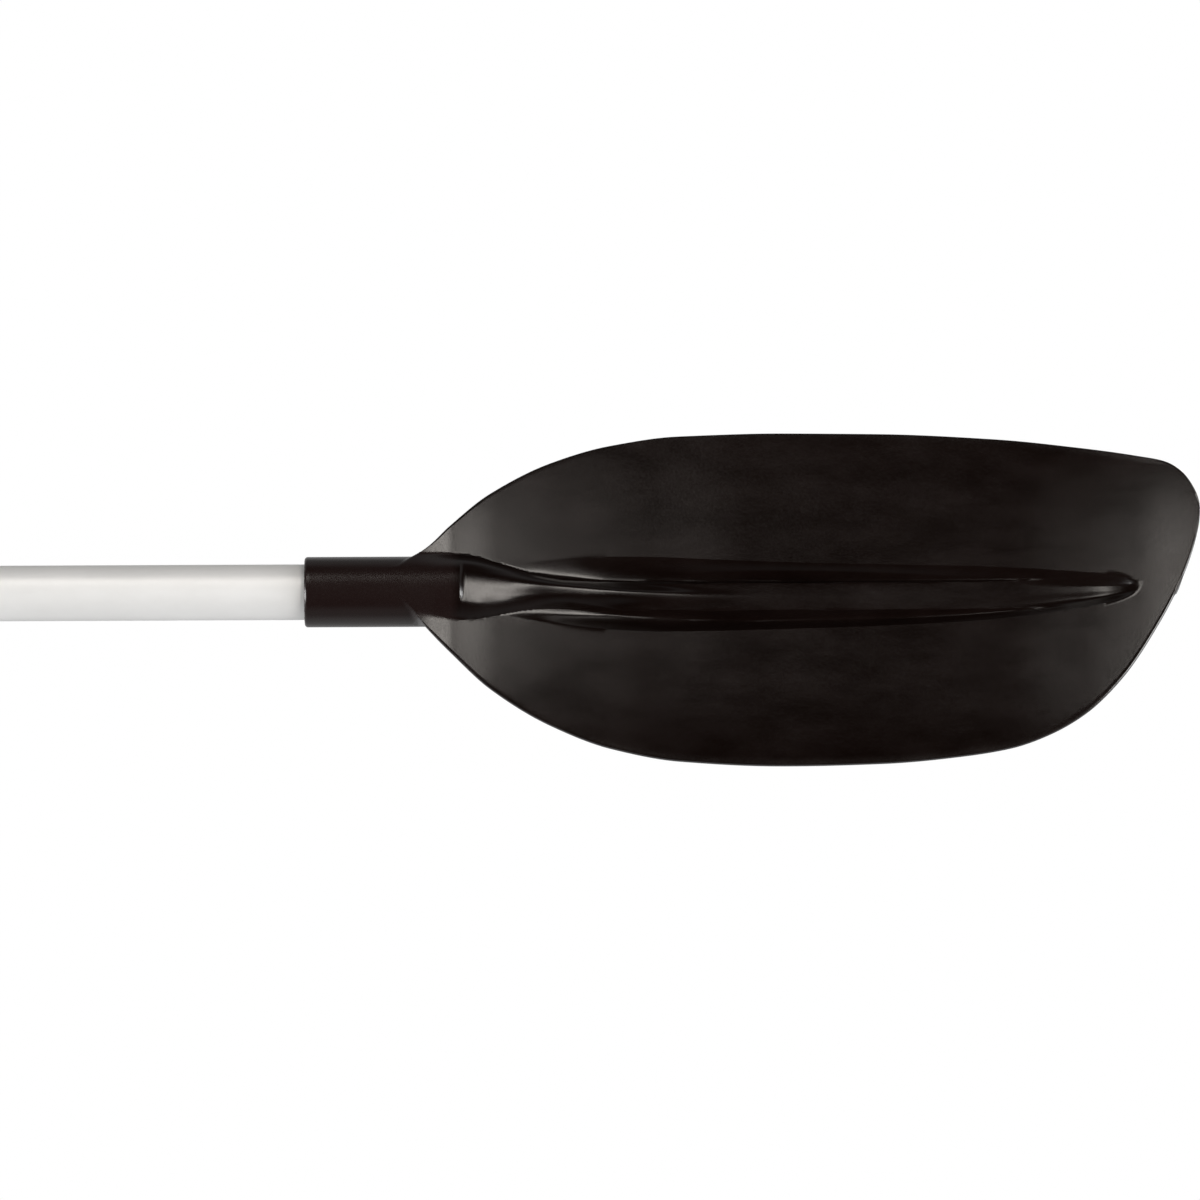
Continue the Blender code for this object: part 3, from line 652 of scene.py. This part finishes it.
def screw_shape(x, radius, turn):
    """The thread, the head's flutes and the hexagon socket of a stop-collar screw."""
    if x < SEAT - 9.0 * MM and radius > 1.7 * MM:
        phase = np.mod(x / (0.7 * MM) - turn / (2 * math.pi), 1.0)
        return radius - 0.32 * MM * np.abs(2 * phase - 1)
    if x > SEAT + 0.6 * MM and radius > 3.4 * MM:
        return radius - 0.1 * MM * (0.5 + 0.5 * np.cos(32 * turn))
    if x > SEAT + 1.0 * MM and 1.4 * MM < radius < 1.9 * MM:
        return hexagon(radius, turn)
    return np.full_like(turn, radius)


def nut_shape(x, radius, turn):
    """The hexagon of a nut, whose corners its bevelled profile cuts off."""
    if radius > 3.0 * MM:
        return np.minimum(radius, hexagon(NUT_R, turn))
    return np.full_like(turn, radius)


def make_stop_fasteners(steel):
    """A socket-head screw and a hexagon nut on each side of the stop collar."""
    top, tip = SEAT + 3.9 * MM, -13.5 * MM
    shank_r, head_r = 2.0 * MM, 3.5 * MM
    screw = [(tip, 0.0), (tip, 1.5 * MM), (tip + 0.5 * MM, shank_r), (SEAT, shank_r)]
    screw = dense(screw, 2, 3, 240)
    screw += rounded([(SEAT, shank_r, 0), (SEAT, head_r, 0.15 * MM), (SEAT + 0.6 * MM, head_r, 0),
                      (SEAT + 0.65 * MM, head_r, 0), (top - 0.4 * MM, head_r, 0),
                      (top, 3.1 * MM, 0.15 * MM), (top, 1.85 * MM, 0),
                      (top - 0.15 * MM, 1.7 * MM, 0), (top - 2.0 * MM, 1.7 * MM, 0),
                      (top - 2.3 * MM, 0.01 * MM, 0)])[1:-1]
    screw.append((top - 2.3 * MM, 0.0))
    low, high = -SEAT - 3.2 * MM, -SEAT
    nut = [(low, 2.4 * MM), (low, 3.5 * MM), (low + 0.35 * MM, 3.96 * MM),
           (high - 0.35 * MM, 3.96 * MM), (high, 3.5 * MM), (high, 2.4 * MM),
           (high - 0.2 * MM, 2.3 * MM), (low + 0.2 * MM, 2.3 * MM)]
    middle_x = STOP_X + 0.5 * STOP_WIDTH
    for word, side in (("left", 1), ("right", -1)):
        up = pointing((0, 0, 1), (middle_x, side * STOP_SCREW_Y, 0))
        add_turned("collar_screw_" + word + "_fine", screw, steel, "stop_collar",
                   "collar_screw_" + word, up, screw_shape, sharp=35.0)
        add_turned("collar_nut_" + word + "_fine", nut, steel, "stop_collar",
                   "collar_nut_" + word, up, nut_shape, sharp=30.0)


# ---------------------------------------------------------------- materials

def noise(tree, vector, scale, detail, roughness=0.55):
    """Cloudy noise with so many features in a unit of the vector."""
    node = tree.nodes.new("ShaderNodeTexNoise")
    node.inputs["Scale"].default_value = scale
    node.inputs["Detail"].default_value = detail
    node.inputs["Roughness"].default_value = roughness
    tree.links.new(vector, node.inputs["Vector"])
    return node.outputs["Fac"]


def stretched(tree, scale):
    """The piece's own coordinates, in metres, squeezed along each axis by a scale."""
    place = tree.nodes.new("ShaderNodeTexCoord")
    mapping = tree.nodes.new("ShaderNodeMapping")
    mapping.inputs["Scale"].default_value = scale
    tree.links.new(place.outputs["Object"], mapping.inputs["Vector"])
    return mapping.outputs["Vector"]


def spread(tree, value, low, high, start=0.3, end=0.7):
    """Map a noise value onto a range."""
    node = tree.nodes.new("ShaderNodeMapRange")
    node.inputs["From Min"].default_value = start
    node.inputs["From Max"].default_value = end
    node.inputs["To Min"].default_value = low
    node.inputs["To Max"].default_value = high
    tree.links.new(value, node.inputs["Value"])
    return node.outputs["Result"]


def combine(tree, operation, first, second):
    """The result of one operation on two values, each an output or a number."""
    node = tree.nodes.new("ShaderNodeMath")
    node.operation = operation
    for socket, value in zip(node.inputs, (first, second)):
        if isinstance(value, float):
            socket.default_value = value
        else:
            tree.links.new(value, socket)
    return node.outputs[0]


def bumps(tree, height, distance, normal=None):
    """The normals of a raised grain, on top of other normals if they are given."""
    node = tree.nodes.new("ShaderNodeBump")
    node.inputs["Distance"].default_value = distance
    tree.links.new(height, node.inputs["Height"])
    if normal is not None:
        tree.links.new(normal, node.inputs["Normal"])
    return node.outputs["Normal"]


def matte_socket_painted_light(tree, shader, colour, roughness):
    """The socket is moulded with a matte texture, which ends where the blade's wing begins. Its
    lighter colour is partly painted light, standing in for the extra light the round socket
    catches, and partly the paler tone of the matte texture.
    """
    place = tree.nodes.new("ShaderNodeTexCoord")
    axes = tree.nodes.new("ShaderNodeSeparateXYZ")
    tree.links.new(place.outputs["Object"], axes.inputs[0])
    along = tree.nodes.new("ShaderNodeMapRange")
    along.interpolation_type = "SMOOTHSTEP"
    along.inputs["From Min"].default_value = SOCKET_X + (SOCKET_END - 6.0) * MM
    along.inputs["From Max"].default_value = SOCKET_X + (SOCKET_END + 1.0) * MM
    along.inputs["To Min"].default_value = 1.0
    along.inputs["To Max"].default_value = 0.0
    tree.links.new(axes.outputs["X"], along.inputs["Value"])
    aside = combine(tree, "ABSOLUTE", axes.outputs["Y"], 0.0)
    on_socket = spread(tree, aside, 1.0, 0.0, 18.6 * MM, 20.2 * MM)
    matte_and_painted_light = combine(tree, "MULTIPLY", along.outputs["Result"], on_socket)
    # painted light in part: a lighter colour mixed in over the socket, with the matte texture's
    # extra roughness
    mix = tree.nodes.new("ShaderNodeMix")
    mix.data_type = "RGBA"
    tree.links.new(matte_and_painted_light, mix.inputs["Factor"])
    tree.links.new(shader.inputs["Base Color"].links[0].from_socket, mix.inputs["A"])
    mix.inputs["B"].default_value = (*colour, 1.0)
    tree.links.new(mix.outputs["Result"], shader.inputs["Base Color"])
    rough = shader.inputs["Roughness"].links[0].from_socket
    extra = combine(tree, "MULTIPLY", matte_and_painted_light, roughness)
    tree.links.new(combine(tree, "ADD", rough, extra), shader.inputs["Roughness"])


def surface(name, dark, light, roughness, metallic, mottle, grain, grain_depth, streaks=None,
            streak_depth=0.0):
    """A finish whose colour and roughness drift with broad noise, with a fine raised grain and,
    if given, streaks drawn out along the shaft.

    mottle and grain are how many features fit in a metre, the depths are in metres, and
    roughness is the lowest and the highest value.
    """
    material = bpy.data.materials.new(name)
    material.use_nodes = True
    tree = material.node_tree
    shader = tree.nodes["Principled BSDF"]
    shader.inputs["Metallic"].default_value = metallic
    even = stretched(tree, (1.0, 1.0, 1.0))
    patches = noise(tree, stretched(tree, (0.45, 1.0, 1.0)), mottle, 6.0, 0.62)
    fine = noise(tree, even, grain, 3.0)
    ramp = tree.nodes.new("ShaderNodeValToRGB")
    ramp.color_ramp.elements[0].position = 0.34
    ramp.color_ramp.elements[0].color = (*dark, 1.0)
    ramp.color_ramp.elements[1].position = 0.66
    ramp.color_ramp.elements[1].color = (*light, 1.0)
    tree.links.new(patches, ramp.inputs["Fac"])
    tree.links.new(ramp.outputs["Color"], shader.inputs["Base Color"])
    low, high = roughness
    middle = 0.5 * (low + high)
    both = combine(tree, "ADD", spread(tree, patches, low, middle),
                   spread(tree, fine, 0.0, high - middle))
    tree.links.new(both, shader.inputs["Roughness"])
    normal = bumps(tree, fine, grain_depth)
    if streaks is not None:
        lines = noise(tree, stretched(tree, (0.03, 1.0, 1.0)), streaks, 4.0, 0.7)
        normal = bumps(tree, lines, streak_depth, normal)
    tree.links.new(normal, shader.inputs["Normal"])
    return material


def make_finishes():
    """Every material on the oar, by the name of its slot in the record."""
    plastic = surface("blade_plastic_fine", (0.0029, 0.0012, 0.0008), (0.0052, 0.0026, 0.0021),
                      roughness=(0.15, 0.27), metallic=0.0, mottle=55.0,
                      grain=800.0, grain_depth=0.00002, streaks=420.0, streak_depth=0.00001)
    nodes = plastic.node_tree.nodes
    # the socket's lighter colour is partly painted light, for the extra light the socket catches
    matte_socket_painted_light(plastic.node_tree, nodes["Principled BSDF"], (0.0096, 0.0048, 0.0044), 0.05)
    return {
        "blade_plastic": plastic,
        "anodised_tube": surface(
            "anodised_tube_fine", (0.86, 0.86, 0.85), (0.92, 0.92, 0.915),
            roughness=(0.36, 0.45), metallic=0.35, mottle=30.0,
            grain=1400.0, grain_depth=0.00001, streaks=700.0, streak_depth=0.00001),
        "plain_alloy": surface(
            "plain_alloy_fine", (0.52, 0.53, 0.55), (0.66, 0.67, 0.69),
            roughness=(0.28, 0.42), metallic=1.0, mottle=40.0,
            grain=1600.0, grain_depth=0.00001, streaks=900.0, streak_depth=0.00003),
        "stainless_steel": surface(
            "stainless_steel_fine", (0.50, 0.50, 0.50), (0.63, 0.63, 0.64),
            roughness=(0.18, 0.30), metallic=1.0, mottle=120.0,
            grain=2500.0, grain_depth=0.00001),
        "spring_steel": surface(
            "spring_steel_fine", (0.26, 0.27, 0.29), (0.40, 0.41, 0.43),
            roughness=(0.28, 0.40), metallic=1.0, mottle=90.0,
            grain=2200.0, grain_depth=0.00001, streaks=1200.0, streak_depth=0.00002),
        "fitting_plastic": surface(
            "fitting_plastic_fine", (0.010, 0.010, 0.011), (0.020, 0.020, 0.021),
            roughness=(0.38, 0.52), metallic=0.0, mottle=60.0,
            grain=1500.0, grain_depth=0.00006, streaks=500.0, streak_depth=0.00002),
        "grip_rubber": surface(
            "grip_rubber_fine", (0.012, 0.012, 0.012), (0.024, 0.023, 0.023),
            roughness=(0.62, 0.82), metallic=0.0, mottle=70.0,
            grain=1100.0, grain_depth=0.00012),
        "closed_cell_foam": surface(
            "closed_cell_foam_fine", (0.62, 0.60, 0.52), (0.80, 0.78, 0.70),
            roughness=(0.80, 0.95), metallic=0.0, mottle=150.0,
            grain=900.0, grain_depth=0.0004),
    }


# ---------------------------------------------------------------- studio

VIEW_ROLL = math.radians(21.0)
VIEW_TOWARDS = Vector((0.0, -math.sin(VIEW_ROLL), math.cos(VIEW_ROLL)))
VIEW_UP = Vector((0.0, math.cos(VIEW_ROLL), math.sin(VIEW_ROLL)))
VIEW_LEAN = math.radians(0.25)      # how far the shaft leans in the picture
AIM_ALONG = 0.1594                  # from the socket's mouth to the picture's middle
AIM_BELOW = 0.0042
FRAME_WIDTH = 0.648                 # what the picture's width covers at the shaft
LIGHT_DISTANCE = 3.5
WARM = (1.0, 0.95, 0.89)
ROOM_SHADES = [(0.22, 0.50), (0.40, 0.20), (0.52, 0.24), (0.73, 0.004)]
FLOOR_HALF_WIDTH = 6.0
FLOOR_GAP = 0.0005                  # between the floor and the oar's lowest point


def make_camera():
    """Looks down on the power face, rolled round the shaft so that the lower rim is nearer."""
    camera = bpy.data.cameras.new("camera")
    camera.lens = 300.0
    camera.sensor_width = 36.0
    camera.clip_end = 100.0
    holder = bpy.data.objects.new("camera", camera)
    bpy.context.collection.objects.link(holder)
    shaft = Vector((1.0, 0.0, 0.0))
    right = shaft * math.cos(VIEW_LEAN) - VIEW_UP * math.sin(VIEW_LEAN)
    up = VIEW_UP * math.cos(VIEW_LEAN) + shaft * math.sin(VIEW_LEAN)
    target = Vector((SOCKET_X, 0.0, 0.0)) + right * AIM_ALONG - up * AIM_BELOW
    distance = FRAME_WIDTH * camera.lens / camera.sensor_width
    turn = Matrix((right, up, VIEW_TOWARDS)).transposed().to_4x4()
    holder.matrix_world = Matrix.Translation(target + VIEW_TOWARDS * distance) @ turn
    bpy.context.scene.camera = holder


def make_light(name, place, aim, size, watts, colour=(1.0, 1.0, 1.0)):
    """A rectangle of light; its size is given across and along the camera's upright."""
    light = bpy.data.lights.new(name, "AREA")
    light.shape = "RECTANGLE"
    light.size, light.size_y = size
    light.energy = watts
    light.color = colour
    holder = bpy.data.objects.new(name, light)
    back = (place - aim).normalized()
    across = VIEW_UP.cross(back).normalized()
    turn = Matrix((across, back.cross(across), back)).transposed().to_4x4()
    holder.matrix_world = Matrix.Translation(place) @ turn
    bpy.context.collection.objects.link(holder)


def make_world():
    """A room that is brightest below and nearly black overhead, behind a white backdrop that
    only the camera sees."""
    scene = bpy.context.scene
    scene.view_settings.view_transform = "Standard"
    world = bpy.data.worlds.new("studio")
    scene.world = world
    world.use_nodes = True
    tree = world.node_tree
    tree.nodes.clear()
    output = tree.nodes.new("ShaderNodeOutputWorld")
    mix = tree.nodes.new("ShaderNodeMixShader")
    path = tree.nodes.new("ShaderNodeLightPath")
    room = tree.nodes.new("ShaderNodeBackground")
    direction = tree.nodes.new("ShaderNodeTexCoord")
    axes = tree.nodes.new("ShaderNodeSeparateXYZ")
    walls = tree.nodes.new("ShaderNodeValToRGB")
    ramp = walls.color_ramp
    ramp.interpolation = "EASE"
    ramp.elements[0].position = ROOM_SHADES[0][0]
    ramp.elements[1].position = ROOM_SHADES[-1][0]
    for place, _ in ROOM_SHADES[1:-1]:
        ramp.elements.new(place)
    for stop, (place, shade) in zip(ramp.elements, ROOM_SHADES):
        stop.color = (shade, shade, shade, 1.0)
    height = tree.nodes.new("ShaderNodeMapRange")
    height.inputs["From Min"].default_value = -1.0
    tree.links.new(direction.outputs["Generated"], axes.inputs[0])
    tree.links.new(axes.outputs["Z"], height.inputs["Value"])
    tree.links.new(height.outputs["Result"], walls.inputs["Fac"])
    tree.links.new(walls.outputs["Color"], room.inputs["Color"])
    backdrop = tree.nodes.new("ShaderNodeBackground")
    backdrop.inputs["Color"].default_value = (1, 1, 1, 1)
    tree.links.new(path.outputs["Is Camera Ray"], mix.inputs[0])
    tree.links.new(room.outputs[0], mix.inputs[1])
    tree.links.new(backdrop.outputs[0], mix.inputs[2])
    tree.links.new(mix.outputs[0], output.inputs["Surface"])


def make_floor():
    """A white floor just below the oar. It shows only from above and lights nothing."""
    z = CAD_LOW[2] - FLOOR_GAP
    half = FLOOR_HALF_WIDTH
    mesh = bpy.data.meshes.new("floor")
    mesh.from_pydata([(-half, -half, z), (half, -half, z), (half, half, z), (-half, half, z)],
                     [], [(0, 1, 2, 3)])
    floor = bpy.data.objects.new("floor", mesh)
    bpy.context.collection.objects.link(floor)
    material = bpy.data.materials.new("floor_white")
    material.use_nodes = True
    nodes = material.node_tree.nodes
    nodes.clear()
    glow = nodes.new("ShaderNodeEmission")
    side = nodes.new("ShaderNodeNewGeometry")
    clear = nodes.new("ShaderNodeBsdfTransparent")
    one_sided = nodes.new("ShaderNodeMixShader")
    links = material.node_tree.links
    links.new(side.outputs["Backfacing"], one_sided.inputs[0])
    links.new(glow.outputs[0], one_sided.inputs[1])
    links.new(clear.outputs[0], one_sided.inputs[2])
    links.new(one_sided.outputs[0], nodes.new("ShaderNodeOutputMaterial").inputs[0])
    mesh.materials.append(material)
    floor.visible_diffuse = False
    floor.visible_glossy = False
    floor.visible_shadow = False


def make_lights():
    """A softbox beyond each end of the oar, and narrow warm lights for the blade's streaks."""
    centre = Vector((SOCKET_X + 0.2, 0.0, 0.0))

    def toward(aside, above):
        """A place round the centre, at angles to the right of and above the line of sight."""
        aside, above = math.radians(aside), math.radians(above)
        flat = VIEW_TOWARDS * math.cos(aside) + Vector((1, 0, 0)) * math.sin(aside)
        return centre + LIGHT_DISTANCE * (flat * math.cos(above) + VIEW_UP * math.sin(above))

    make_light("right_softbox", toward(72, -6), centre, (3.4, 1.3), 180.0)
    make_light("left_softbox", toward(-72, -6), centre, (3.4, 1.3), 180.0)
    make_light("right_strip", toward(31, 18), centre, (0.5, 4.8), 66.0, WARM)
    make_light("right_fill", toward(20, 30), centre, (0.9, 1.8), 3.2, WARM)
    make_light("left_haze", toward(-22, 45), centre, (0.4, 1.1), 9.5, WARM)


make_camera()
finish = make_finishes()
blade = make_blade(finish["blade_plastic"])
drill(blade, (BLADE_RIVET_X, 0, -17 * MM), (0, 0, 1), BLADE_RIVET_R + GAP, 14 * MM)
make_shaft(finish["anodised_tube"], finish["plain_alloy"])
make_rivets(finish["stainless_steel"])
make_button(finish["stainless_steel"])
make_spring(finish["spring_steel"])
make_plugs(finish["closed_cell_foam"])
make_joint_ring(finish["fitting_plastic"])
make_sleeve(finish["fitting_plastic"])
make_grip(finish["grip_rubber"])
make_stop_half("stop_collar_top", 1, finish["fitting_plastic"])
make_stop_half("stop_collar_bottom", -1, finish["fitting_plastic"])
make_stop_fasteners(finish["stainless_steel"])
make_world()
make_floor()
make_lights()
